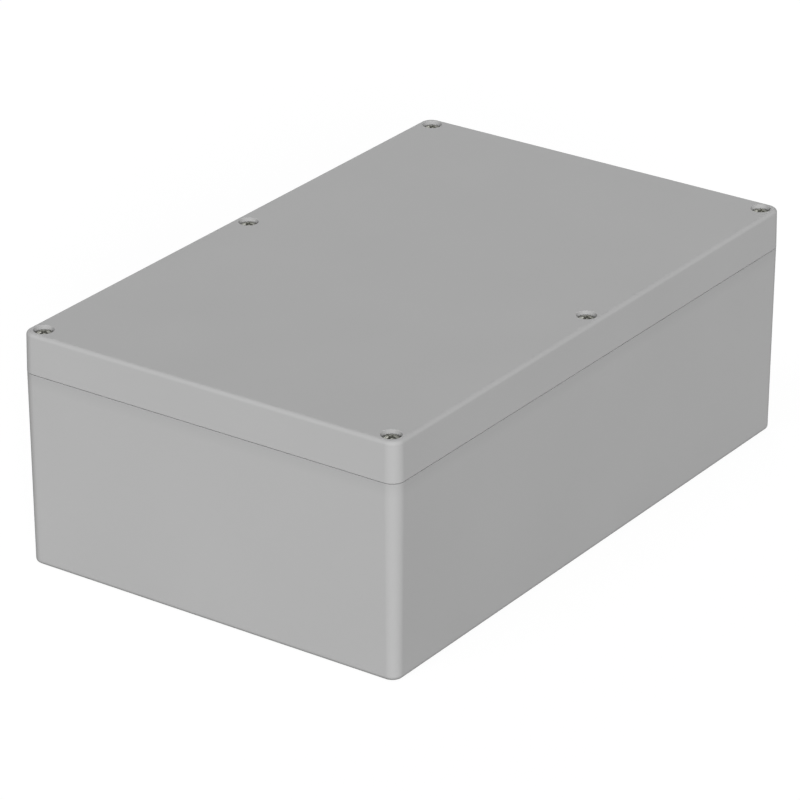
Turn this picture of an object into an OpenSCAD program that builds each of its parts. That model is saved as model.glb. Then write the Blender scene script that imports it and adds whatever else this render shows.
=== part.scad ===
// Moulded wall enclosure: drafted base, shallow lid, ring gasket and six captive lid screws.
// Millimetres, +Z up, origin in the middle of the underside.

/* [Overall size] */

// Length over the lid
length = 250; // [200:1:360]

// Width over the lid
width = 160; // [130:1:240]

// Height of the base up to the parting plane
base_h = 74.5; // [50:0.5:140]

// Height of the lid above the parting plane
lid_h = 15.5; // [14:0.5:30]

// Radius of the upright corners at the parting plane
corner_r = 5; // [4:0.1:7]

/* [Outside form] */

// Draft of the base walls in degrees
base_draft = 0.5; // [0.2:0.05:1]

// Draft of the lid walls in degrees
lid_draft = 1; // [0.2:0.1:1.5]

// Rounding of the top edge of the lid
top_round = 1.45; // [0.8:0.05:2.5]

// Rounding of the bottom edge of the base
bottom_round = 1.45; // [0.5:0.05:2]

// Rounding of the rim edge of the base at the parting plane
rim_round = 0.15; // [0.1:0.05:0.8]

// Rounding of the lid edge at the parting plane
lip_round = 0.15; // [0.1:0.05:0.4]

// Step of the base behind the lid at the parting plane
rim_step = 0.05; // [0:0.05:0.5]

// Shadow gap between the rim of the base and the edge of the lid
lip_gap = 0.3; // [0.1:0.05:0.6]

/* [Walls] */

// Wall of the base at the parting plane
wall = 3.4; // [3:0.1:5]

// Draft of the inside walls of the base in degrees
core_draft = 0.5; // [0.2:0.1:1]

// Floor of the base
floor_t = 3; // [2:0.1:5]

// Plate of the lid
lid_t = 3; // [2:0.1:5]

/* [Corner blocks] */

// Plastic of a corner block around the wall fixing passage
passage_wall = 3; // [2.5:0.1:6]

// Radius of the free edge of a corner block
block_r = 4.5; // [3:0.5:8]

// Plastic of a mid column around the thread insert
column_wall = 3.5; // [3:0.1:6]

// Radius in the notch where a block or column meets a wall
notch_r = 2.4; // [2:0.1:4]

/* [Seal] */

// Thickness of the sealing tongue on the base
tongue_t = 1.6; // [1:0.1:2.5]

// Height of the sealing tongue above the parting plane
tongue_h = 3; // [2:0.5:5]

// Side clearance between tongue and groove
groove_gap = 0.2; // [0.1:0.05:0.4]

// Rib on the inner side of the groove
groove_rib = 1.6; // [1:0.1:3]

// Height of the gasket pressed on the tongue
gasket_h = 3; // [2:0.5:5]

// Side clearance between gasket and groove
gasket_gap = 0.1; // [0.05:0.05:0.3]

/* [Lid screws] */

// Distance of the screws from the outside faces
screw_inset = 6; // [5:0.5:8]

// Diameter of the counterbore in the lid
sink_d = 7.4; // [6.8:0.1:9]

// Diameter of the stop pads under the lid around the screws
pad_d = 8.4; // [7:0.1:9]

// Depth of the screw heads below the top face
head_drop = 1; // [0.5:0.1:3]

// Diameter of the screw head
head_d = 6.6; // [6:0.1:8]

// Height of the screw head
head_h = 2.6; // [2:0.1:4]

// Rounding of the head edge
head_round = 0.5; // [0.2:0.1:1]

// Diameter of the thread
thread_d = 4; // [3:0.5:5]

// Diameter of the waist that keeps the screw in the lid
waist_d = 3; // [2:0.1:3.4]

// Length of the thread below the parting plane
thread_below = 7.5; // [5:0.5:8.5]

// Length of the thread above the parting plane
thread_above = 1; // [0.5:0.5:3]

// Chamfer of the screw tip
tip_chamfer = 0.6; // [0.2:0.1:1]

// Side clearance of the thread in the lid passage
passage_gap = 0.3; // [0.2:0.05:0.6]

// Length of the neck that keeps the screw in the lid
neck_l = 1.6; // [1:0.1:3]

// Side clearance of the waist in the neck
neck_gap = 0.3; // [0.2:0.05:0.5]

/* [Screw drive] */

// Span of the cross recess at the top of the head
cross_span = 4.1; // [3:0.1:5]

// Span of the cross recess at its bottom
cross_foot = 2.4; // [1.5:0.1:3]

// Width of a cross arm
cross_w = 1.1; // [0.6:0.1:1.6]

// Depth of the cross recess
cross_depth = 1.9; // [1:0.1:2.1]

/* [Thread inserts] */

// Outside diameter of the insert
insert_d = 6; // [5:0.1:7]

// Length of the insert
insert_l = 9; // [5:0.5:15]

// Depth of the insert below the rim
insert_drop = 0.5; // [0:0.1:2]

// Running clearance of the thread in the insert
thread_gap = 0.05; // [0.02:0.01:0.1]

// Free depth of the hole below the insert
insert_run = 8; // [5:0.5:20]

/* [Wall fixing] */

// Distance of the wall fixing holes from the end faces
fix_inset = 7; // [6.5:0.5:10]

// Distance of a wall fixing hole from the corner screw along the width
fix_pitch = 14.5; // [12:0.5:24]

// Diameter of the wall fixing holes
fix_d = 4.5; // [3:0.1:6]

// Diameter of the passage for the screw head
fix_head_d = 8.4; // [7:0.1:10]

// Thickness under the head of a wall fixing screw
fix_seat_t = 6; // [3:0.5:10]

// Height of the relief in the lid above the passage
fix_relief_h = 9; // [4:0.5:12]

/* [Board bosses] */

// Distance of the outer bosses from the end faces
boss_inset_x = 25; // [22:1:60]

// Distance of the boss rows from the long faces
boss_inset_y = 24; // [20:1:50]

// Diameter of a boss at its top
boss_d = 8; // [6:0.1:12]

// Diameter of a boss at the floor
boss_foot_d = 8.8; // [6:0.1:14]

// Height of a boss above the floor
boss_h = 8; // [4:0.5:20]

// Diameter of the pilot hole
pilot_d = 2.9; // [2:0.1:5]

// Plastic left under the pilot hole
pilot_floor = 2; // [1:0.1:4]

/* [Hidden] */

$fn = 96;
eps = 0.5;
half_l = length / 2;
half_w = width / 2;
height = base_h + lid_h;
corner_x = half_l - corner_r;
corner_y = half_w - corner_r;
screw_x = half_l - screw_inset;
screw_y = half_w - screw_inset;
head_top = height - head_drop;
seat_z = head_top - head_h;
groove_top = base_h + tongue_h + gasket_h;
insert_top = base_h - insert_drop;
block_x = fix_inset + fix_head_d / 2 + passage_wall;
block_y = screw_inset + fix_pitch + fix_head_d / 2 + passage_wall;
column_r = insert_d / 2 + column_wall;
fix_x = half_l - fix_inset;
fix_y = screw_y - fix_pitch;
boss_x = half_l - boss_inset_x;
boss_y = half_w - boss_inset_y;
grey = [0.66, 0.66, 0.65];

// Waste outside a rounded lower edge at the origin, the wall leaning out by draft as it rises
module edge_waste(r, draft) {
    centre = [-r * (1 - sin(draft)) / cos(draft), r];
    touch = centre + r * [cos(draft), -sin(draft)];
    difference() {
        polygon([centre, [centre[0], -r], [r, -r], [r, touch[1]], touch]);
        translate(centre)
            circle(r);
    }
}

// Wall section of the base, x outwards from the corner centre line and y upwards
module base_section() {
    top = corner_r - rim_step;
    foot = top - base_h * tan(base_draft);
    difference() {
        polygon([[0, 0], [foot, 0], [top, base_h], [0, base_h]]);
        translate([foot, 0])
            edge_waste(bottom_round, base_draft);
        translate([top, base_h])
            mirror([0, 1])
                edge_waste(rim_round, -base_draft);
    }
}

// Wall section of the lid, with y upwards from the edge of the lid
module lid_section() {
    rise = lid_h - lip_gap;
    top = corner_r - rise * tan(lid_draft);
    difference() {
        polygon([[0, 0], [corner_r, 0], [top, rise], [0, rise]]);
        translate([corner_r, 0])
            edge_waste(lip_round, -lid_draft);
        translate([top, rise])
            mirror([0, 1])
                edge_waste(top_round, lid_draft);
    }
}

module at_corners(x, y) {
    for (sx = [-1, 1], sy = [-1, 1])
        translate([sx * x, sy * y, 0])
            children();
}

module at_screws() {
    for (x = [-screw_x, 0, screw_x], y = [-screw_y, screw_y])
        translate([x, y, 0])
            children();
}

// A wall section carried round the rounded rectangle, with the middle filled
module swept_block(h) {
    translate([-corner_x, -corner_y, 0])
        cube([2 * corner_x, 2 * corner_y, h]);
    for (side = [0:3]) {
        out = side % 2 == 0 ? corner_x : corner_y;
        run = side % 2 == 0 ? corner_y : corner_x;
        rotate(90 * side)
            translate([out, 0, 0]) {
                rotate([90, 0, 0])
                    linear_extrude(2 * run, center = true)
                        children();
                translate([0, run, 0])
                    rotate_extrude(angle = 90)
                        children();
            }
    }
}

// Square with one rounded corner at its origin side, filling the quadrant out to size
module round_corner(size, r) {
    translate([r, 0])
        square([size[0] - r, size[1]]);
    translate([0, r])
        square([size[0], size[1] - r]);
    translate([r, r])
        circle(r);
}

// Fillet that fills the notch at the origin, towards +X and +Y
module notch(r) {
    difference() {
        square(r);
        translate([r, r])
            circle(r);
    }
}

// Plan of the inside, grown outwards by the given amount
module inside_plan(grow) {
    edge_x = half_l - wall + grow;
    edge_y = half_w - wall + grow;
    step_x = half_l - block_x + grow;
    step_y = half_w - block_y + grow;
    side_r = column_r - grow;
    fill_r = max(notch_r + grow, 0.3);
    difference() {
        square([2 * edge_x, 2 * edge_y], center = true);
        for (mx = [0, 1], my = [0, 1])
            mirror([mx, 0])
                mirror([0, my]) {
                    translate([step_x, step_y])
                        round_corner([block_x + eps, block_y + eps], block_r - grow);
                    translate([step_x, edge_y])
                        rotate(180)
                            notch(fill_r);
                    translate([edge_x, step_y])
                        rotate(180)
                            notch(fill_r);
                    translate([side_r, edge_y])
                        rotate(-90)
                            notch(fill_r);
                }
        for (my = [0, 1])
            mirror([0, my])
                translate([0, screw_y]) {
                    circle(side_r);
                    translate([-side_r, 0])
                        square([2 * side_r, screw_inset + eps]);
                }
    }
}

// Wedge shaped core that gives the inside walls their draft
module core_draft_block() {
    rise = base_h - floor_t;
    fall = rise * tan(core_draft);
    top_x = half_l - wall;
    top_y = half_w - wall;
    intersection() {
        translate([0, 0, floor_t])
            rotate([90, 0, 0])
                linear_extrude(2 * width, center = true)
                    polygon([[-top_x + fall, 0], [top_x - fall, 0], [top_x, rise], [top_x, rise + eps],
                             [-top_x, rise + eps], [-top_x, rise]]);
        translate([0, 0, floor_t])
            rotate([90, 0, 90])
                linear_extrude(2 * length, center = true)
                    polygon([[-top_y + fall, 0], [top_y - fall, 0], [top_y, rise], [top_y, rise + eps],
                             [-top_y, rise + eps], [-top_y, rise]]);
    }
}

module boss() {
    cylinder(h = boss_h, d1 = boss_foot_d, d2 = boss_d);
}

module base() {
    color(grey)
        difference() {
            union() {
                difference() {
                    swept_block(base_h)
                        base_section();
                    intersection() {
                        core_draft_block();
                        translate([0, 0, floor_t])
                            linear_extrude(base_h)
                                inside_plan(0);
                    }
                }
                translate([0, 0, base_h - eps])
                    linear_extrude(tongue_h + eps)
                        difference() {
                            inside_plan(tongue_t);
                            inside_plan(0);
                        }
                for (x = [-boss_x, 0, boss_x], y = [-boss_y, boss_y])
                    translate([x, y, floor_t])
                        boss();
            }
            for (x = [-boss_x, 0, boss_x], y = [-boss_y, boss_y])
                translate([x, y, pilot_floor])
                    cylinder(h = boss_h + floor_t, d = pilot_d);
            at_screws()
                translate([0, 0, insert_top - insert_l - insert_run])
                    cylinder(h = base_h, d = thread_d + 2 * passage_gap);
            at_screws()
                translate([0, 0, insert_top - insert_l])
                    cylinder(h = base_h, d = insert_d);
            at_corners(fix_x, fix_y) {
                translate([0, 0, -eps])
                    cylinder(h = base_h, d = fix_d);
                translate([0, 0, fix_seat_t])
                    cylinder(h = base_h, d = fix_head_d);
            }
        }
}

module lid() {
    rib = groove_gap + groove_rib;
    color(grey)
        difference() {
            union() {
                translate([0, 0, base_h + lip_gap])
                    swept_block(lid_h - lip_gap)
                        lid_section();
                at_screws()
                    translate([0, 0, base_h])
                        cylinder(h = lip_gap + eps, d = pad_d);
            }
            translate([0, 0, base_h - eps])
                linear_extrude(lid_h - lid_t + eps)
                    inside_plan(-rib);
            translate([0, 0, base_h - eps])
                linear_extrude(groove_top - base_h + eps)
                    difference() {
                        inside_plan(tongue_t + groove_gap);
                        inside_plan(-groove_gap);
                    }
            at_screws() {
                translate([0, 0, seat_z])
                    cylinder(h = height, d = sink_d);
                translate([0, 0, base_h - eps])
                    cylinder(h = seat_z - neck_l - base_h + eps, d = thread_d + 2 * passage_gap);
                translate([0, 0, base_h])
                    cylinder(h = height, d = waist_d + 2 * neck_gap);
            }
            at_corners(fix_x, fix_y)
                translate([0, 0, base_h - eps])
                    cylinder(h = fix_relief_h + eps, d = fix_head_d);
        }
}

module gasket() {
    color([0.12, 0.12, 0.12])
        translate([0, 0, base_h + tongue_h])
            linear_extrude(gasket_h)
                difference() {
                    inside_plan(tongue_t + groove_gap - gasket_gap);
                    inside_plan(gasket_gap - groove_gap);
                }
}

module thread_inserts() {
    color([0.78, 0.62, 0.3])
        at_screws()
            translate([0, 0, insert_top - insert_l])
                difference() {
                    cylinder(h = insert_l, d = insert_d);
                    translate([0, 0, -eps])
                        cylinder(h = insert_l + 2 * eps, d = thread_d + 2 * thread_gap);
                }
}

module lid_screw(x, y) {
    tip = base_h - thread_below;
    shoulder = base_h + thread_above;
    thread_r = thread_d / 2;
    waist_r = waist_d / 2;
    color([0.62, 0.62, 0.6])
        translate([x * screw_x, y * screw_y, 0])
            difference() {
                rotate_extrude()
                    difference() {
                        polygon([[0, tip], [thread_r - tip_chamfer, tip], [thread_r, tip + tip_chamfer],
                                 [thread_r, shoulder], [waist_r, shoulder + thread_r - waist_r],
                                 [waist_r, seat_z], [head_d / 2, seat_z], [head_d / 2, head_top],
                                 [0, head_top]]);
                        translate([head_d / 2, head_top])
                            mirror([0, 1])
                                edge_waste(head_round, 0);
                    }
                for (turn = [0, 90])
                    translate([0, 0, head_top])
                        rotate([90, 0, turn])
                            linear_extrude(cross_w, center = true)
                                polygon([[-cross_foot / 2, -cross_depth], [cross_foot / 2, -cross_depth],
                                         [cross_span / 2, 0], [cross_span / 2, eps],
                                         [-cross_span / 2, eps], [-cross_span / 2, 0]]);
            }
}

base();
lid();
gasket();
thread_inserts();
lid_screw(-1, -1);  // lid_screw_front_left
lid_screw(0, -1);  // lid_screw_front_mid
lid_screw(1, -1);  // lid_screw_front_right
lid_screw(-1, 1);  // lid_screw_rear_left
lid_screw(0, 1);  // lid_screw_rear_mid
lid_screw(1, 1);  // lid_screw_rear_right
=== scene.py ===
import math

import bmesh
import bpy
from mathutils import Matrix, Vector, geometry


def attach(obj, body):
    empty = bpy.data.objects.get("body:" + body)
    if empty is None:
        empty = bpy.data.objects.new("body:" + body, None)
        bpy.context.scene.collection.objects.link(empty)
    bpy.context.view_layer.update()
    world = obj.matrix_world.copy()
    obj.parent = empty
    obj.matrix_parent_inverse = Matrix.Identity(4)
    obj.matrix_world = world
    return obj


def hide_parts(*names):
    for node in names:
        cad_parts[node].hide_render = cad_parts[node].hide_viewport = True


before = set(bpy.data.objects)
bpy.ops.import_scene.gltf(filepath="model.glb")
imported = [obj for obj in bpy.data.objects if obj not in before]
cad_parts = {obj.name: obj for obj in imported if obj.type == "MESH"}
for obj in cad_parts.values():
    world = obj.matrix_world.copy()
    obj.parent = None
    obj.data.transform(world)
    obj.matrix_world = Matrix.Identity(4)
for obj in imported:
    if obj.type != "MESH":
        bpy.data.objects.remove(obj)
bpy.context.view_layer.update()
scene = bpy.context.scene
scene.view_settings.view_transform = "Standard"

mm = 0.001  # sizes are given in millimetres, meshes are written in metres
case = {
    "length": 250, "width": 160, "baseHeight": 74.5, "lidHeight": 15.5,
    "cornerRadius": 5, "cornerSteps": 18,
    "wall": 3.4, "floor": 3, "plate": 3, "coreDraft": 0.5,
    "blockX": 14.2, "blockY": 27.7, "blockRadius": 4.5, "columnRadius": 6.5,
    "notchRadius": 2.4, "leastNotch": 0.3,
    "screwInset": 6, "fixX": 118, "fixY": 59.5,
    "mouthLand": 0.4,  # flat strip between the eased edge of a hole and the face around it
}
halfLength, halfWidth = case["length"] / 2, case["width"] / 2
partingZ, topZ = case["baseHeight"], case["baseHeight"] + case["lidHeight"]
screwX, screwY = halfLength - case["screwInset"], halfWidth - case["screwInset"]
screwSpots = {
    "front_left": (-screwX, -screwY), "front_mid": (0, -screwY), "front_right": (screwX, -screwY),
    "rear_left": (-screwX, screwY), "rear_mid": (0, screwY), "rear_right": (screwX, screwY),
}
fixSpots = [(x * case["fixX"], y * case["fixY"]) for x in (-1, 1) for y in (-1, 1)]


def arc(x, y, r, start, end, steps):
    turns = [math.radians(start + (end - start) * i / steps) for i in range(steps + 1)]
    return [(x + r * math.cos(t), y + r * math.sin(t)) for t in turns]


# rounds the inner corners of a section, each corner given as (x, y, radius), without a radius it stays sharp
def eased(path, steps=4):
    out = [path[0][:2]]
    for before, here, after in zip(path, path[1:], path[2:]):
        p = Vector(here[:2])
        a, b = (Vector(before[:2]) - p).normalized(), (Vector(after[:2]) - p).normalized()
        r = here[2] if len(here) > 2 else 0
        if r == 0:
            out.append(tuple(p))
            continue
        half = a.angle(b) / 2
        centre = p + (a + b).normalized() * (r / math.sin(half))
        first, last = p + a * (r / math.tan(half)), p + b * (r / math.tan(half))
        start = math.atan2(first.y - centre.y, first.x - centre.x)
        sweep = math.remainder(math.atan2(last.y - centre.y, last.x - centre.x) - start, 2 * math.pi)
        out += arc(centre.x, centre.y, r, math.degrees(start), math.degrees(start + sweep), steps)
    return out + [path[-1][:2]]


def circleLoop(x, y, r, steps=40):
    return arc(x, y, r, 0, 360, steps)[:-1]


# rounded rectangle, out is measured from the corner centres
def outerLoop(out):
    x, y = halfLength - case["cornerRadius"], halfWidth - case["cornerRadius"]
    corners = [(x, y), (-x, y), (-x, -y), (x, -y)]
    steps = case["cornerSteps"]
    return [p for k, c in enumerate(corners) for p in arc(*c, out, 90 * k, 90 * k + 90, steps)]


# plan of the inside round the corner blocks and mid columns, grown outwards, with the walls drawn in by drop
def planLoop(grow, drop=0.0, steps=10):
    edgeX, edgeY = halfLength - case["wall"] + grow - drop, halfWidth - case["wall"] + grow - drop
    stepX, stepY = halfLength - case["blockX"] + grow, halfWidth - case["blockY"] + grow
    notch, block = max(case["notchRadius"] + grow, case["leastNotch"]), case["blockRadius"] - grow
    column = case["columnRadius"] - grow
    lean = math.degrees(math.asin(min(0, (edgeY - notch - screwY) / column)))
    quarter = arc(edgeX - notch, stepY - notch, notch, 0, 90, steps)
    quarter += arc(stepX + block, stepY + block, block, 270, 180, steps)
    quarter += arc(stepX - notch, edgeY - notch, notch, 0, 90, steps)
    quarter += arc(column + notch, edgeY - notch, notch, 90, 180, steps)
    quarter += arc(0, screwY, column, lean, -90, steps * 2)
    half = quarter + [(-x, y) for x, y in reversed(quarter[:-1])]
    return half + [(-x, -y) for x, y in half]


# a closed skin made of loops, walls between loops and flat fills
class Skin:
    def __init__(self):
        self.points, self.faces = [], []

    # z is a height, or a function of the distance from the axis
    def loop(self, plan, z):
        first = len(self.points)
        self.points += [(x, y, z(math.hypot(x, y)) if callable(z) else z) for x, y in plan]
        return list(range(first, len(self.points)))

    def wall(self, a, b):
        n = len(a)
        self.faces += [(a[i], a[(i + 1) % n], b[(i + 1) % n], b[i]) for i in range(n)]

    def tower(self, loops):
        for a, b in zip(loops, loops[1:]):
            self.wall(a, b)
        return loops

    def outside(self, section):
        return self.tower([self.loop(outerLoop(o), z) for o, z in section])

    def inside(self, section, draft=0.0):
        slope = math.tan(math.radians(draft))
        return self.tower([self.loop(planLoop(g, max(0, partingZ - z) * slope), z) for g, z in section])

    def turned(self, x, y, section, steps=40):
        return self.tower([self.loop(circleLoop(x, y, r, steps), z) for r, z in section])

    def fill(self, rim, holes=()):
        loops = [rim, *holes]
        flat = [i for loop in loops for i in loop]
        for tri in geometry.tessellate_polygon([[Vector(self.points[i]) for i in loop] for loop in loops]):
            self.faces.append(tuple(flat[i] for i in tri))

    def cap(self, loop):
        self.faces.append(tuple(loop))

    def mesh(self, name):
        mesh = bpy.data.meshes.new(name)
        mesh.from_pydata([Vector(p) * mm for p in self.points], [], self.faces)
        bm = bmesh.new()
        bm.from_mesh(mesh)
        bmesh.ops.recalc_face_normals(bm, faces=bm.faces)
        for face in bm.faces:
            face.smooth = True
        bm.to_mesh(mesh)
        bm.free()
        mesh.set_sharp_from_angle(angle=math.radians(50))
        return mesh


# bakes the modifiers of an object into a plain mesh
def settle(obj):
    bpy.context.view_layer.update()
    made = bpy.data.meshes.new_from_object(obj.evaluated_get(bpy.context.evaluated_depsgraph_get()))
    obj.modifiers.clear()
    obj.data = made
    return obj


def addPiece(name, mesh, material):
    obj = bpy.data.objects.new(name, mesh)
    scene.collection.objects.link(obj)
    mesh.materials.clear()
    mesh.materials.append(material)
    even = obj.modifiers.new("evenNormals", "WEIGHTED_NORMAL")
    even.keep_sharp = True
    return settle(obj)


def hand(obj, body, node):
    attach(obj, body)
    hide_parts(node)
    print(obj.name, len(obj.data.polygons), "faces")


# a material with helpers to add textures, ranges and a bump
class Paint:
    def __init__(self, name, **values):
        self.mat = bpy.data.materials.new(name)
        self.mat.use_nodes = True
        self.nodes, self.links = self.mat.node_tree.nodes, self.mat.node_tree.links
        self.shader = self.nodes["Principled BSDF"]
        for key, value in values.items():
            self.shader.inputs[key.replace("_", " ")].default_value = value

    def add(self, kind, values=None, **settings):
        node = self.nodes.new(kind)
        for key, value in settings.items():
            setattr(node, key, value)
        for key, value in (values or {}).items():
            if isinstance(value, bpy.types.NodeSocket):
                self.links.new(value, node.inputs[key])
            else:
                node.inputs[key].default_value = value
        return node

    def noise(self, place, scale, detail):
        node = self.add("ShaderNodeTexNoise", {"Vector": place, "Scale": scale, "Detail": detail})
        return node.outputs["Fac"]

    # turned rings round the axis
    def rings(self, place, scale, distortion):
        node = self.add("ShaderNodeTexWave", {
            "Vector": place, "Scale": scale, "Distortion": distortion, "Detail": 2,
        }, wave_type="RINGS", rings_direction="Z")
        return node.outputs["Fac"]

    def spread(self, value, low, high, start=0.0, end=1.0):
        node = self.add("ShaderNodeMapRange", {
            "Value": value, "From Min": start, "From Max": end, "To Min": low, "To Max": high,
        })
        return node.outputs["Result"]

    def math(self, operation, a, b):
        return self.add("ShaderNodeMath", {0: a, 1: b}, operation=operation).outputs[0]

    # a and b are colours or colour sockets
    def shade(self, value, a, b):
        mix = self.add("ShaderNodeMix", {"Factor": value}, data_type="RGBA")
        for key, colour in (("A", a), ("B", b)):
            if isinstance(colour, bpy.types.NodeSocket):
                self.links.new(colour, mix.inputs[key])
            else:
                mix.inputs[key].default_value = (*colour, 1)
        return mix.outputs["Result"]

    def bump(self, height, strength, depth, before=None):
        node = self.add("ShaderNodeBump", {"Height": height, "Strength": strength, "Distance": depth})
        if before:
            self.links.new(before, node.inputs["Normal"])
        return node.outputs["Normal"]

    def set(self, **sockets):
        for key, value in sockets.items():
            self.links.new(value, self.shader.inputs[key.replace("_", " ")])
        return self.mat


# light grey plastic with a finely eroded mould texture
plastic = {
    "grey": 0.41, "greySpread": 0.01, "roughness": 0.7, "roughSpread": 0.06, "specular": 0.15,
    "grain": 4200, "pits": 2520, "flow": 22, "grainDepth": 0.03, "pitBump": 0.4, "grainBump": 0.5,
    # the rim and foot values paint shade into the colour, below the parting line and along the foot
    "rimPaintedShade": 0.06, "rimBand": 5.2, "footPaintedShade": 0.21, "footBand": (0.9, 1.7),
}


def plasticMaterial():
    paint = Paint("greyPlastic", Specular_IOR_Level=plastic["specular"])
    place = paint.add("ShaderNodeTexCoord").outputs["Object"]
    height = paint.add("ShaderNodeSeparateXYZ", {"Vector": place}).outputs["Z"]
    grain = paint.noise(place, plastic["grain"], 4)
    pits = paint.add("ShaderNodeTexVoronoi", {"Vector": place, "Scale": plastic["pits"]}).outputs["Distance"]
    flow = paint.noise(place, plastic["flow"], 3)
    # painted shade: a little darker below the parting line, where the lid overhangs the base, and a painted
    # contact shade along the foot
    band = paint.spread(height, 0, 1, (partingZ - plastic["rimBand"]) * mm, partingZ * mm)
    below = paint.spread(height, plastic["rimPaintedShade"], 0, (partingZ + 0.1) * mm, (partingZ + 0.2) * mm)
    rim = paint.math("SUBTRACT", 1, paint.math("MULTIPLY", band, below))
    foot = paint.spread(height, 1 - plastic["footPaintedShade"], 1, *[z * mm for z in plastic["footBand"]])
    grey, vary = plastic["grey"], plastic["greySpread"]
    tone = paint.spread(flow, grey * (1 - vary), grey * (1 + vary), 0.3, 0.7)
    tone = paint.math("MULTIPLY", tone, paint.math("MULTIPLY", rim, foot))
    rough, vary = plastic["roughness"], plastic["roughSpread"]
    gloss = paint.spread(grain, rough - vary, rough + vary)
    normal = paint.bump(pits, plastic["pitBump"], plastic["grainDepth"] * mm)
    normal = paint.bump(grain, plastic["grainBump"], plastic["grainDepth"] * mm, normal)
    return paint.set(Base_Color=tone, Roughness=gloss, Normal=normal)


greyPlastic = plasticMaterial()

# shallow marks of the ejector pins
pin = {"radius": 4, "depth": 0.12, "taper": 0.05}


# side is 1 for a mark that goes up into a ceiling and -1 for one that goes down into a floor
def pinMark(skin, x, y, z, side):
    mark = skin.turned(x, y, [(pin["radius"], z), (pin["radius"] - pin["taper"], z + side * pin["depth"])])
    skin.cap(mark[-1])
    return mark[0]


# moulded base with sealing tongue, blocks, columns and bosses
base = {
    "draft": 0.5, "bottomRound": 1.45, "rimRound": 0.15, "rimStep": 0.05,
    "tongue": 1.6, "tongueHeight": 3, "tongueRound": 0.35, "floorRound": 1.5,
    "seatRadius": 3, "seatZ": 65, "runRadius": 2.3, "runZ": 57,
    "passRadius": 4.2, "passZ": 6, "fixRadius": 2.25,
    "bossRadius": 4, "bossFoot": 4.4, "bossZ": 11, "pilotRadius": 1.45, "pilotZ": 2,
    "gateRadius": 5, "gateDepth": 0.5, "nubRadius": 1.3, "nubTip": 1.1, "nubZ": 0.2,
    "bosses": [(x, y) for x in (-100, 0, 100) for y in (-56, 56)],
    "pinMarks": [(x, y) for x in (-62, 62) for y in (-30, 30)] + [(x, 0) for x in (-108, 0, 108)],
}


def buildBase():
    skin = Skin()
    land, floor = case["mouthLand"], case["floor"]
    top = case["cornerRadius"] - base["rimStep"]
    foot = top - partingZ * math.tan(math.radians(base["draft"]))
    rim = skin.outside(eased([
        (foot - 2, 0), (foot, 0, base["bottomRound"]),
        (top, partingZ, base["rimRound"]), (top - 0.7, partingZ),
    ], 8))
    tongue, z, ease = base["tongue"], partingZ + base["tongueHeight"], base["tongueRound"]
    core = skin.inside(eased([
        (tongue + 0.3, partingZ), (tongue, partingZ, 0.2), (tongue, z, ease), (0, z, ease), (0, partingZ),
        (0, floor, base["floorRound"]), (-2.2, floor),
    ]), case["coreDraft"])
    seatHoles, floorHoles, underHoles = [], [], []
    seat, run = base["seatRadius"], base["runRadius"]
    for x, y in screwSpots.values():
        hole = skin.turned(x, y, eased([
            (seat + land, partingZ), (seat, partingZ, 0.3), (seat, base["seatZ"]),
            (run, base["seatZ"]), (run, base["runZ"]),
        ]))
        skin.cap(hole[-1])
        seatHoles.append(hole[0])
    wide, step, thin = base["passRadius"], base["passZ"], base["fixRadius"]
    for x, y in fixSpots:
        hole = skin.turned(x, y, eased([
            (wide + land, partingZ), (wide, partingZ, 0.35), (wide, step, 0.3),
            (thin, step, 0.2), (thin, 0, 0.3), (thin + land, 0),
        ]))
        seatHoles.append(hole[0])
        underHoles.append(hole[-1])
    foot, z, pilot = base["bossFoot"], base["bossZ"], base["pilotRadius"]
    for x, y in base["bosses"]:
        boss = skin.turned(x, y, eased([
            (foot + 1, floor), (foot, floor, 0.8), (base["bossRadius"], z, 0.3),
            (pilot, z, 0.25), (pilot, base["pilotZ"]),
        ]))
        skin.cap(boss[-1])
        floorHoles.append(boss[0])
    floorHoles += [pinMark(skin, x, y, floor, -1) for x, y in base["pinMarks"]]
    wide, deep = base["gateRadius"], base["gateDepth"]
    gate = skin.turned(0, 0, eased([
        (wide + 0.6, 0), (wide, 0, 0.3), (wide, deep, 0.2),
        (base["nubRadius"], deep), (base["nubTip"], base["nubZ"]),
    ]))
    skin.cap(gate[-1])
    underHoles.append(gate[0])
    skin.fill(rim[0], underHoles)
    skin.fill(rim[-1], [core[0], *seatHoles])
    skin.fill(core[-1], floorHoles)
    return addPiece("baseShell", skin.mesh("baseShell"), greyPlastic)


hand(buildBase(), "base", "base")

# shallow lid with counterbores on top, groove and stop pads below
lid = {
    "draft": 1, "topRound": 1.45, "lipRound": 0.15, "lipGap": 0.25,
    "groove": 1.8, "grooveGap": 0.2, "grooveDepth": 6, "rib": 1.8, "underRound": 1,
    "sinkRadius": 3.7, "sinkEdge": 0.15, "sinkDepth": 3.6, "neckRadius": 1.8, "neckLength": 1.6,
    "passRadius": 2.3, "padRadius": 4.2, "reliefRadius": 4.2, "reliefDepth": 9,
    "pinMarks": [(x, y) for x in (-95, 0, 95) for y in (-38, 38)],
}


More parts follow.
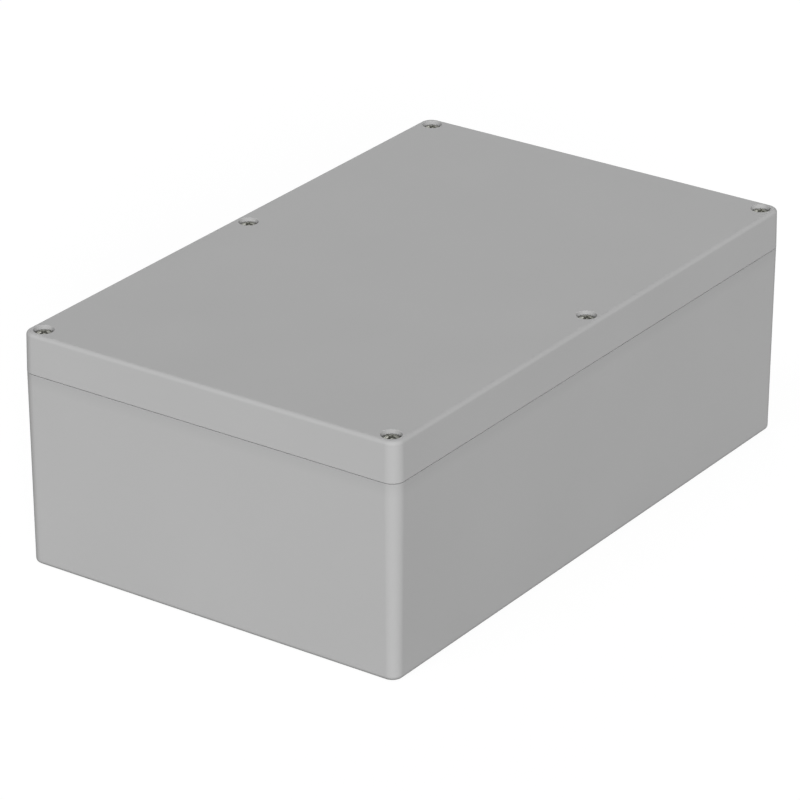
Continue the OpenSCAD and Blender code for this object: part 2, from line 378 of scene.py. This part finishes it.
def buildLid():
    skin = Skin()
    land = case["mouthLand"]
    out, lip, under = case["cornerRadius"], partingZ + lid["lipGap"], topZ - case["plate"]
    top = out - (topZ - lip) * math.tan(math.radians(lid["draft"]))
    shell = skin.outside(eased([
        (out - land, lip), (out, lip, lid["lipRound"]), (top, topZ, lid["topRound"]),
        (top - lid["topRound"] - 0.06, topZ),
    ], 10))
    wide, gap, rib, z = lid["groove"], lid["grooveGap"], lid["rib"], partingZ + lid["grooveDepth"]
    groove = skin.inside(eased([
        (wide + 0.25, lip), (wide, lip, 0.15), (wide, z, 0.2), (-gap, z, 0.2), (-gap, lip, 0.2),
        (-rib, lip, 0.3), (-rib, under, lid["underRound"]), (-rib - 1.2, under),
    ]))
    topHoles, lipHoles = [], []
    sink, edge, pad = lid["sinkRadius"], lid["sinkEdge"], lid["padRadius"]
    thin, wide = lid["neckRadius"], lid["passRadius"]
    seat = topZ - lid["sinkDepth"]
    neck = seat - lid["neckLength"]
    for x, y in screwSpots.values():
        hole = skin.turned(x, y, eased([
            (sink + edge + 0.1, topZ), (sink, topZ, edge), (sink, seat, 0.25), (thin, seat, 0.15),
            (thin, neck), (wide, neck), (wide, partingZ, 0.3), (pad, partingZ, 0.1), (pad, lip),
        ]), 64)
        topHoles.append(hole[0])
        lipHoles.append(hole[-1])
    wide = lid["reliefRadius"]
    for x, y in fixSpots:
        hole = skin.turned(x, y, eased([
            (wide + land, lip), (wide, lip, 0.3), (wide, partingZ + lid["reliefDepth"]),
        ]))
        skin.cap(hole[-1])
        lipHoles.append(hole[0])
    underHoles = [pinMark(skin, x, y, under, 1) for x, y in lid["pinMarks"]]
    skin.fill(shell[-1], topHoles)
    skin.fill(shell[0], [groove[0], *lipHoles])
    skin.fill(groove[-1], underHoles)
    return addPiece("lidShell", skin.mesh("lidShell"), greyPlastic)


hand(buildLid(), "lid", "lid")


# a geometry node group with named inputs, wire() links the nodes and gives back the last geometry socket
def nodeGroup(name, numbers, wire):
    group = bpy.data.node_groups.new(name, "GeometryNodeTree")
    group.interface.new_socket("Geometry", in_out="INPUT", socket_type="NodeSocketGeometry")
    for label, value in numbers.items():
        kind = "NodeSocketInt" if isinstance(value, int) else "NodeSocketFloat"
        group.interface.new_socket(label, in_out="INPUT", socket_type=kind)
    group.interface.new_socket("Material", in_out="INPUT", socket_type="NodeSocketMaterial")
    group.interface.new_socket("Geometry", in_out="OUTPUT", socket_type="NodeSocketGeometry")
    start, end = group.nodes.new("NodeGroupInput"), group.nodes.new("NodeGroupOutput")

    def add(kind, values=None, **settings):
        node = group.nodes.new(kind)
        for key, value in settings.items():
            setattr(node, key, value)
        for key, value in (values or {}).items():
            for one in value if isinstance(value, list) else [value]:
                if isinstance(one, bpy.types.NodeSocket):
                    group.links.new(one, node.inputs[key])
                else:
                    node.inputs[key].default_value = one
        return node.outputs[0]

    shape = wire(add, start.outputs)
    real = add("GeometryNodeRealizeInstances", {"Geometry": shape})
    paint = add("GeometryNodeSetMaterial", {"Geometry": real, "Material": start.outputs["Material"]})
    group.links.new(paint, end.inputs[0])
    return group


# runs a node group on a mesh and keeps the result as a plain mesh
def grow(name, mesh, wire, numbers, material):
    group = nodeGroup(name, numbers, wire)
    obj = bpy.data.objects.new(name, mesh)
    scene.collection.objects.link(obj)
    mod = obj.modifiers.new(name, "NODES")
    mod.node_group = group
    names = {item.name: item.identifier for item in group.interface.items_tree if item.in_out == "INPUT"}
    mod[names["Material"]] = material
    for label, value in numbers.items():
        mod[names[label]] = value
    settle(obj)
    obj.data.set_sharp_from_angle(angle=math.radians(38))
    return obj


# one helical ridge, turn is 90 for a ridge that faces out and -90 for one that faces in
def ridge(add, pick, turn):
    radius = pick["Ridge Radius"]
    spiral = add("GeometryNodeCurveSpiral", {
        "Resolution": 36, "Rotations": pick["Turns"], "Height": pick["Thread Length"],
        "Start Radius": radius, "End Radius": radius,
    })
    upright = add("GeometryNodeSetCurveNormal", {"Curve": spiral}, mode="Z_UP")
    flank = add("GeometryNodeCurvePrimitiveQuadrilateral", {
        "Height": pick["Ridge Height"], "Bottom Width": pick["Ridge Foot"], "Top Width": pick["Ridge Crest"],
        "Offset": 0.0,
    }, mode="TRAPEZOID")
    aimed = add("GeometryNodeTransform", {"Geometry": flank, "Rotation": (0, 0, math.radians(turn))})
    swept = add("GeometryNodeCurveToMesh", {"Curve": upright, "Profile Curve": aimed, "Fill Caps": True})
    lift = add("ShaderNodeCombineXYZ", {"Z": pick["Thread Start"]})
    return add("GeometryNodeTransform", {"Geometry": swept, "Translation": lift})


# keeps the place on the part's own axis for the material
def keepPlace(add, shape):
    here = add("GeometryNodeInputPosition")
    return add("GeometryNodeStoreNamedAttribute", {"Geometry": shape, "Name": "ownPlace", "Value": here},
               data_type="FLOAT_VECTOR")


# gasket ring in the groove of the lid, grown from the plan of the inside
gasket = {
    "grow": 0.8, "width": 1.78, "height": 2.98, "edge": 0.35, "edgeSteps": 4, "middle": 4.5,
    "black": 0.022, "bloom": (1.7, 1.7, 1.75), "specular": 0.35,
}


def rubberMaterial():
    paint = Paint("sealRubber", Specular_IOR_Level=gasket["specular"])
    place = paint.add("ShaderNodeTexCoord").outputs["Object"]
    grain = paint.noise(place, 3000, 5)
    bloom = paint.noise(place, 90, 4)
    dark = gasket["black"]
    tone = paint.shade(paint.spread(bloom, 0, 1, 0.35, 0.7), [dark] * 3, [dark * c for c in gasket["bloom"]])
    gloss = paint.spread(bloom, 0.55, 0.72)
    return paint.set(Base_Color=tone, Roughness=gloss, Normal=paint.bump(grain, 0.35, 0.03 * mm))


def buildGasket():
    path = bpy.data.meshes.new("gasketPath")
    plan = planLoop(gasket["grow"], 0, 8)
    z = partingZ + gasket["middle"]
    links = [(i, (i + 1) % len(plan)) for i in range(len(plan))]
    path.from_pydata([(x * mm, y * mm, z * mm) for x, y in plan], links, [])

    def wire(add, pick):
        curve = add("GeometryNodeMeshToCurve", {"Mesh": pick["Geometry"]})
        upright = add("GeometryNodeSetCurveNormal", {"Curve": curve}, mode="Z_UP")
        strip = add("GeometryNodeCurvePrimitiveQuadrilateral", {
            "Width": pick["Width"], "Height": pick["Height"],
        })
        soft = add("GeometryNodeFilletCurve", {
            "Curve": strip, "Count": pick["Edge Steps"], "Radius": pick["Edge Radius"],
        }, mode="POLY")
        return add("GeometryNodeCurveToMesh", {"Curve": upright, "Profile Curve": soft})

    return grow("gasketRing", path, wire, {
        "Width": gasket["width"] * mm, "Height": gasket["height"] * mm,
        "Edge Steps": gasket["edgeSteps"], "Edge Radius": gasket["edge"] * mm,
    }, rubberMaterial())


hand(buildGasket(), "lid", "gasket")

# brass inserts pressed into the base, knurled outside and threaded inside
insert = {
    "top": 74, "length": 9, "bore": 2.06, "body": 2.76, "lead": 0.4,
    "neck": 2.5, "neckHalf": 0.6, "neckSlope": 0.3,
    "knurls": 26, "knurlSize": 0.3, "knurlSet": 0.01, "knurlGap": 1.2,
    "pitch": 0.7, "threadFoot": 0.5, "threadHead": 0.7,
    "ridgeSet": 0.02, "ridgeHeight": 0.16, "ridgeFoot": 0.6, "ridgeCrest": 0.1,
    "colour": (0.62, 0.43, 0.16), "stain": 0.8,
}


def brassMaterial():
    paint = Paint("insertBrass", Metallic=1)
    place = paint.add("ShaderNodeAttribute", attribute_name="ownPlace").outputs["Vector"]
    lines = paint.rings(place, 2200, 2)
    stain = paint.noise(place, 420, 5)
    light = insert["colour"]
    tone = paint.shade(paint.spread(stain, 0, 1, 0.35, 0.65), [c * insert["stain"] for c in light], light)
    gloss = paint.spread(stain, 0.24, 0.4)
    return paint.set(Base_Color=tone, Roughness=gloss, Normal=paint.bump(lines, 0.2, 0.01 * mm))


def buildInserts():
    skin = Skin()
    top, low, lead = insert["top"], insert["top"] - insert["length"], insert["lead"]
    bore, body, neck = insert["bore"], insert["body"], insert["neck"]
    mid, thin = (top + low) / 2, insert["neckHalf"]
    full = thin + insert["neckSlope"]
    bush = skin.turned(0, 0, [
        (bore + lead, top), (bore, top - lead), (bore, low + 0.3), (bore + 0.2, low), (neck, low),
        (body, low + lead), (body, mid - full), (neck, mid - thin), (neck, mid + thin), (body, mid + full),
        (body, top - 0.15), (body - 0.15, top),
    ], 48)
    skin.wall(bush[-1], bush[0])

    def wire(add, pick):
        ring = add("GeometryNodeMeshCircle", {"Vertices": pick["Knurls"], "Radius": pick["Knurl Radius"]})
        index = add("GeometryNodeInputIndex")
        share = add("ShaderNodeMath", {0: index, 1: pick["Knurls"]}, operation="DIVIDE")
        angle = add("ShaderNodeMath", {0: share, 1: 2 * math.pi}, operation="MULTIPLY")
        turn = add("ShaderNodeCombineXYZ", {"Z": angle})
        wide = pick["Knurl Size"]
        size = add("ShaderNodeCombineXYZ", {"X": wide, "Y": wide, "Z": pick["Knurl Length"]})
        block = add("GeometryNodeMeshCube", {"Size": size})
        tooth = add("GeometryNodeTransform", {"Geometry": block, "Rotation": (0, 0, math.radians(45))})
        teeth = add("GeometryNodeInstanceOnPoints", {"Points": ring, "Instance": tooth, "Rotation": turn})
        parts = [pick["Geometry"], ridge(add, pick, -90)]
        for band in ("Upper Band", "Lower Band"):
            lift = add("ShaderNodeCombineXYZ", {"Z": pick[band]})
            parts.append(add("GeometryNodeTransform", {"Geometry": teeth, "Translation": lift}))
        one = add("GeometryNodeJoinGeometry", {"Geometry": parts})
        one = keepPlace(add, add("GeometryNodeRealizeInstances", {"Geometry": one}))
        spots = add("GeometryNodeMeshGrid", {
            "Size X": pick["Spacing X"], "Size Y": pick["Spacing Y"], "Vertices X": 3, "Vertices Y": 2,
        })
        return add("GeometryNodeInstanceOnPoints", {"Points": spots, "Instance": one})

    band = insert["length"] / 2 - insert["knurlGap"] - lead
    reach = insert["knurlGap"] + band / 2
    length = insert["length"] - insert["threadFoot"] - insert["threadHead"]
    return grow("threadInserts", skin.mesh("insertBush"), wire, {
        "Spacing X": screwX * 2 * mm, "Spacing Y": screwY * 2 * mm,
        "Knurls": insert["knurls"], "Knurl Radius": (body + insert["knurlSet"]) * mm,
        "Knurl Size": insert["knurlSize"] * mm, "Knurl Length": band * mm,
        "Upper Band": (mid + reach) * mm, "Lower Band": (mid - reach) * mm,
        "Turns": length / insert["pitch"], "Thread Length": length * mm,
        "Thread Start": (low + insert["threadFoot"]) * mm,
        "Ridge Radius": (bore + insert["ridgeSet"]) * mm, "Ridge Height": insert["ridgeHeight"] * mm,
        "Ridge Foot": insert["ridgeFoot"] * mm, "Ridge Crest": insert["ridgeCrest"] * mm,
    }, brassMaterial())


hand(buildInserts(), "base", "thread_inserts")

# captive screws with a cross recess in a slightly domed head, thinned below the head
screw = {
    "headRadius": 3.4, "headHeight": 2.8, "headDrop": 0.8, "headDome": 9.4, "headRing": (2.6, 2.85),
    "waist": 1.5, "core": 1.62, "tip": 0.5, "shoulder": 0.4,
    "threadRadius": 1.95, "pitch": 0.7, "threadBelow": 7.5, "threadAbove": 1,
    "ridgeSink": 0.1, "ridgeFoot": 0.62, "ridgeCrest": 0.1,
    "crossSpan": 4.1, "crossFoot": 2.4, "crossWidth": 1, "crossDepth": 1.9,
    "crossEdge": 0.2, "crossLip": 0.12,
    "grey": 0.17, "greySpread": 0.2, "tint": (1, 1, 0.89),
    # painted shade in the cross recess: its darker colour, the extra roughness there and the reach of its
    # mask
    "recessPaintedShade": 0.2, "recessRough": 0.4,
    "recessShadeRadius": (2.2, 2.4), "recessShadeDepth": (0.02, 0.5), "recessShadeFloor": (2.2, 2.4),
}


def steelMaterial():
    paint = Paint("screwSteel", Metallic=1)
    place = paint.add("ShaderNodeAttribute", attribute_name="ownPlace").outputs["Vector"]
    lines = paint.rings(place, 2600, 1.5)
    speck = paint.noise(place, 1100, 5)
    tint, grey, vary = Vector(screw["tint"]), screw["grey"], screw["greySpread"]
    worn = paint.spread(speck, 0, 1, 0.3, 0.7)
    tone = paint.shade(worn, tint * grey * (1 - vary), tint * grey * (1 + vary))
    # painted shade in the cross recess only: near the axis, below the top and above the floor of the recess
    top = topZ - screw["headDrop"]
    flat = paint.add("ShaderNodeVectorMath", {0: place, 1: (1, 1, 0)}, operation="MULTIPLY").outputs["Vector"]
    across = paint.add("ShaderNodeVectorMath", {0: flat}, operation="LENGTH").outputs["Value"]
    height = paint.add("ShaderNodeSeparateXYZ", {"Vector": place}).outputs["Z"]
    (near, far), (high, deep), (shelf, under) = screw["recessShadeRadius"], screw["recessShadeDepth"], screw["recessShadeFloor"]
    inside = paint.spread(across, 1, 0, near * mm, far * mm)
    below = paint.spread(height, 1, 0, (top - deep) * mm, (top - high) * mm)
    above = paint.spread(height, 0, 1, (top - under) * mm, (top - shelf) * mm)
    recess = paint.math("MULTIPLY", inside, paint.math("MULTIPLY", below, above))
    tone = paint.shade(recess, tone, tint * screw["recessPaintedShade"])
    rough = paint.math("MULTIPLY", recess, screw["recessRough"])
    gloss = paint.math("ADD", paint.spread(speck, 0.24, 0.38), rough)
    return paint.set(Base_Color=tone, Roughness=gloss, Normal=paint.bump(lines, 0.2, 0.01 * mm))


# plan of the cross recess
def crossLoop(span, width, end=0.2, inner=0.25):
    reach, side = span / 2, width / 2
    arm = arc(reach - end, end - side, end, -90, 0, 3) + arc(reach - end, side - end, end, 0, 90, 3)
    arm += arc(side + inner, side + inner, inner, 270, 180, 3)
    quarters = [(1, 0), (0, 1), (-1, 0), (0, -1)]
    return [(x * c - y * s, x * s + y * c) for c, s in quarters for x, y in arm]


def buildScrews():
    skin = Skin()
    top, r, ball = topZ - screw["headDrop"], screw["headRadius"], screw["headDome"]
    seat, tip = top - screw["headHeight"], partingZ - screw["threadBelow"]
    waist, core, end = screw["waist"], screw["core"], screw["tip"]
    shoulder = partingZ + screw["threadAbove"]

    def dome(out):
        return top - ball + math.sqrt(ball ** 2 - out ** 2)

    def lip(out):
        return dome(out) - screw["crossLip"]

    body = skin.turned(0, 0, eased([
        *[(ring, dome(ring)) for ring in screw["headRing"]], (r, dome(r), 0.3), (r, seat, 0.12),
        (waist, seat, 0.2), (waist, shoulder + 0.4), (core, shoulder + 0.3),
        (core, tip + end), (core - end, tip),
    ], 6), 48)
    skin.cap(body[-1])
    span, foot, arm = screw["crossSpan"], screw["crossFoot"], screw["crossWidth"]
    mouth = crossLoop(span + screw["crossEdge"], arm + screw["crossEdge"])
    cross = skin.tower([
        skin.loop(mouth, dome), skin.loop(crossLoop(span, arm), lip),
        skin.loop(crossLoop(foot, arm * 0.8), top - screw["crossDepth"]),
    ])
    skin.cap(cross[-1])
    # rings that blend from the cross to the round rim, which starts four steps further back
    rim = body[0][-4:] + body[0][:-4]
    blend = [cross[0]]
    for share in (0.25, 0.5, 0.75):
        blend.append(skin.loop([Vector(p).lerp(skin.points[i][:2], share) for p, i in zip(mouth, rim)], dome))
    skin.tower([*blend, rim])

    def wire(add, pick):
        one = add("GeometryNodeJoinGeometry", {"Geometry": [pick["Geometry"], ridge(add, pick, 90)]})
        return keepPlace(add, one)

    length = screw["threadBelow"] + screw["threadAbove"] - end - screw["shoulder"]
    height = screw["threadRadius"] - core + screw["ridgeSink"]
    one = grow("lidScrew", skin.mesh("lidScrew"), wire, {
        "Turns": length / screw["pitch"], "Thread Length": length * mm, "Thread Start": (tip + end) * mm,
        "Ridge Radius": (screw["threadRadius"] - height / 2) * mm, "Ridge Height": height * mm,
        "Ridge Foot": screw["ridgeFoot"] * mm, "Ridge Crest": screw["ridgeCrest"] * mm,
    }, steelMaterial())
    for spot, (x, y) in screwSpots.items():
        mesh = one.data.copy()
        mesh.transform(Matrix.Translation((x * mm, y * mm, 0)))
        piece = bpy.data.objects.new("lidScrew_" + spot, mesh)
        scene.collection.objects.link(piece)
        hand(piece, "screw_" + spot, "lid_screw_" + spot)
    bpy.data.objects.remove(one)


buildScrews()

# plain pale floor, white for the camera and in reflections
# soft lamps, each given by direction, strength and width in degrees
stage = {
    "floorHalf": 4, "floorGrey": 0.31, "floorShadow": 0.1, "floorGlow": 0.925, "world": 0.375,
    "lamps": {
        "key": ((-0.732, -0.608, 0.309), 2.77, 20),
        "top": ((-0.556, 0.139, 0.819), 0.51, 20),
        "back": ((0.62, 0.66, 0.43), 0.54, 28),
    },
}


# mixes what lights the object (first input) with what the camera and reflections see (second input)
def paleMix(nodes, links):
    path = nodes.new("ShaderNodeLightPath")
    seen = path.outputs["Is Camera Ray"]
    for ray in ("Is Glossy Ray", "Is Transmission Ray"):
        either = nodes.new("ShaderNodeMath")
        either.operation = "MAXIMUM"
        links.new(seen, either.inputs[0])
        links.new(path.outputs[ray], either.inputs[1])
        seen = either.outputs[0]
    mix = nodes.new("ShaderNodeMixShader")
    links.new(seen, mix.inputs["Fac"])
    return mix


def buildFloor():
    mesh = bpy.data.meshes.new("studioFloor")
    s = stage["floorHalf"]
    mesh.from_pydata([(-s, -s, 0), (s, -s, 0), (s, s, 0), (-s, s, 0)], [], [(0, 1, 2, 3)])
    floor = bpy.data.objects.new("studioFloor", mesh)
    scene.collection.objects.link(floor)
    paint = Paint("studioFloor")
    paint.nodes.remove(paint.shader)
    lit = paint.add("ShaderNodeBsdfDiffuse", {"Color": (*[stage["floorGrey"]] * 3, 1)})
    shaded = paint.add("ShaderNodeBsdfDiffuse", {"Color": (*[stage["floorShadow"]] * 3, 1)})
    glow = paint.add("ShaderNodeEmission", {"Strength": stage["floorGlow"]})
    white = paint.add("ShaderNodeAddShader", {0: shaded.outputs[0], 1: glow.outputs[0]})
    mix = paleMix(paint.nodes, paint.links)
    paint.links.new(lit.outputs[0], mix.inputs[1])
    paint.links.new(white.outputs[0], mix.inputs[2])
    paint.links.new(mix.outputs[0], paint.nodes["Material Output"].inputs["Surface"])
    mesh.materials.append(paint.mat)


def buildLight():
    world = bpy.data.worlds.new("studio")
    world.use_nodes = True
    scene.world = world
    nodes, links = world.node_tree.nodes, world.node_tree.links
    dim, bright = nodes["Background"], nodes.new("ShaderNodeBackground")
    dim.inputs["Color"].default_value = bright.inputs["Color"].default_value = (1, 1, 1, 1)
    dim.inputs["Strength"].default_value = stage["world"]
    mix = paleMix(nodes, links)
    links.new(dim.outputs[0], mix.inputs[1])
    links.new(bright.outputs[0], mix.inputs[2])
    links.new(mix.outputs[0], nodes["World Output"].inputs["Surface"])
    for name, (direction, power, width) in stage["lamps"].items():
        light = bpy.data.lights.new(name, "SUN")
        light.energy, light.angle = power, math.radians(width)
        lamp = bpy.data.objects.new(name, light)
        scene.collection.objects.link(lamp)
        lamp.rotation_euler = Vector(direction).to_track_quat("Z", "Y").to_euler()


# camera at the angle of the photograph, distance and shifts in metres, lens and sensor in millimetres
shot = {
    "azimuth": -55, "elevation": 25, "distance": 1.6212, "lens": 200.5, "sensor": 36,
    "aimZ": 0.045, "shiftRight": -0.00481, "shiftUp": -0.00701, "clip": (0.1, 50),
}


def buildCamera():
    a, e = math.radians(shot["azimuth"]), math.radians(shot["elevation"])
    back = Vector((math.sin(a) * math.cos(e), -math.cos(a) * math.cos(e), math.sin(e)))
    right = Vector((math.cos(a), math.sin(a), 0))
    up = back.cross(right)
    aim = Vector((0, 0, shot["aimZ"])) + right * shot["shiftRight"] + up * shot["shiftUp"]
    data = bpy.data.cameras.new("photoCamera")
    data.sensor_width, data.lens = shot["sensor"], shot["lens"]
    data.clip_start, data.clip_end = shot["clip"]
    cam = bpy.data.objects.new("photoCamera", data)
    scene.collection.objects.link(cam)
    turned = Matrix((right, up, back)).transposed().to_4x4()
    cam.matrix_world = Matrix.Translation(aim + back * shot["distance"]) @ turned
    scene.camera = cam


buildFloor()
buildLight()
buildCamera()
print("stage and camera set")
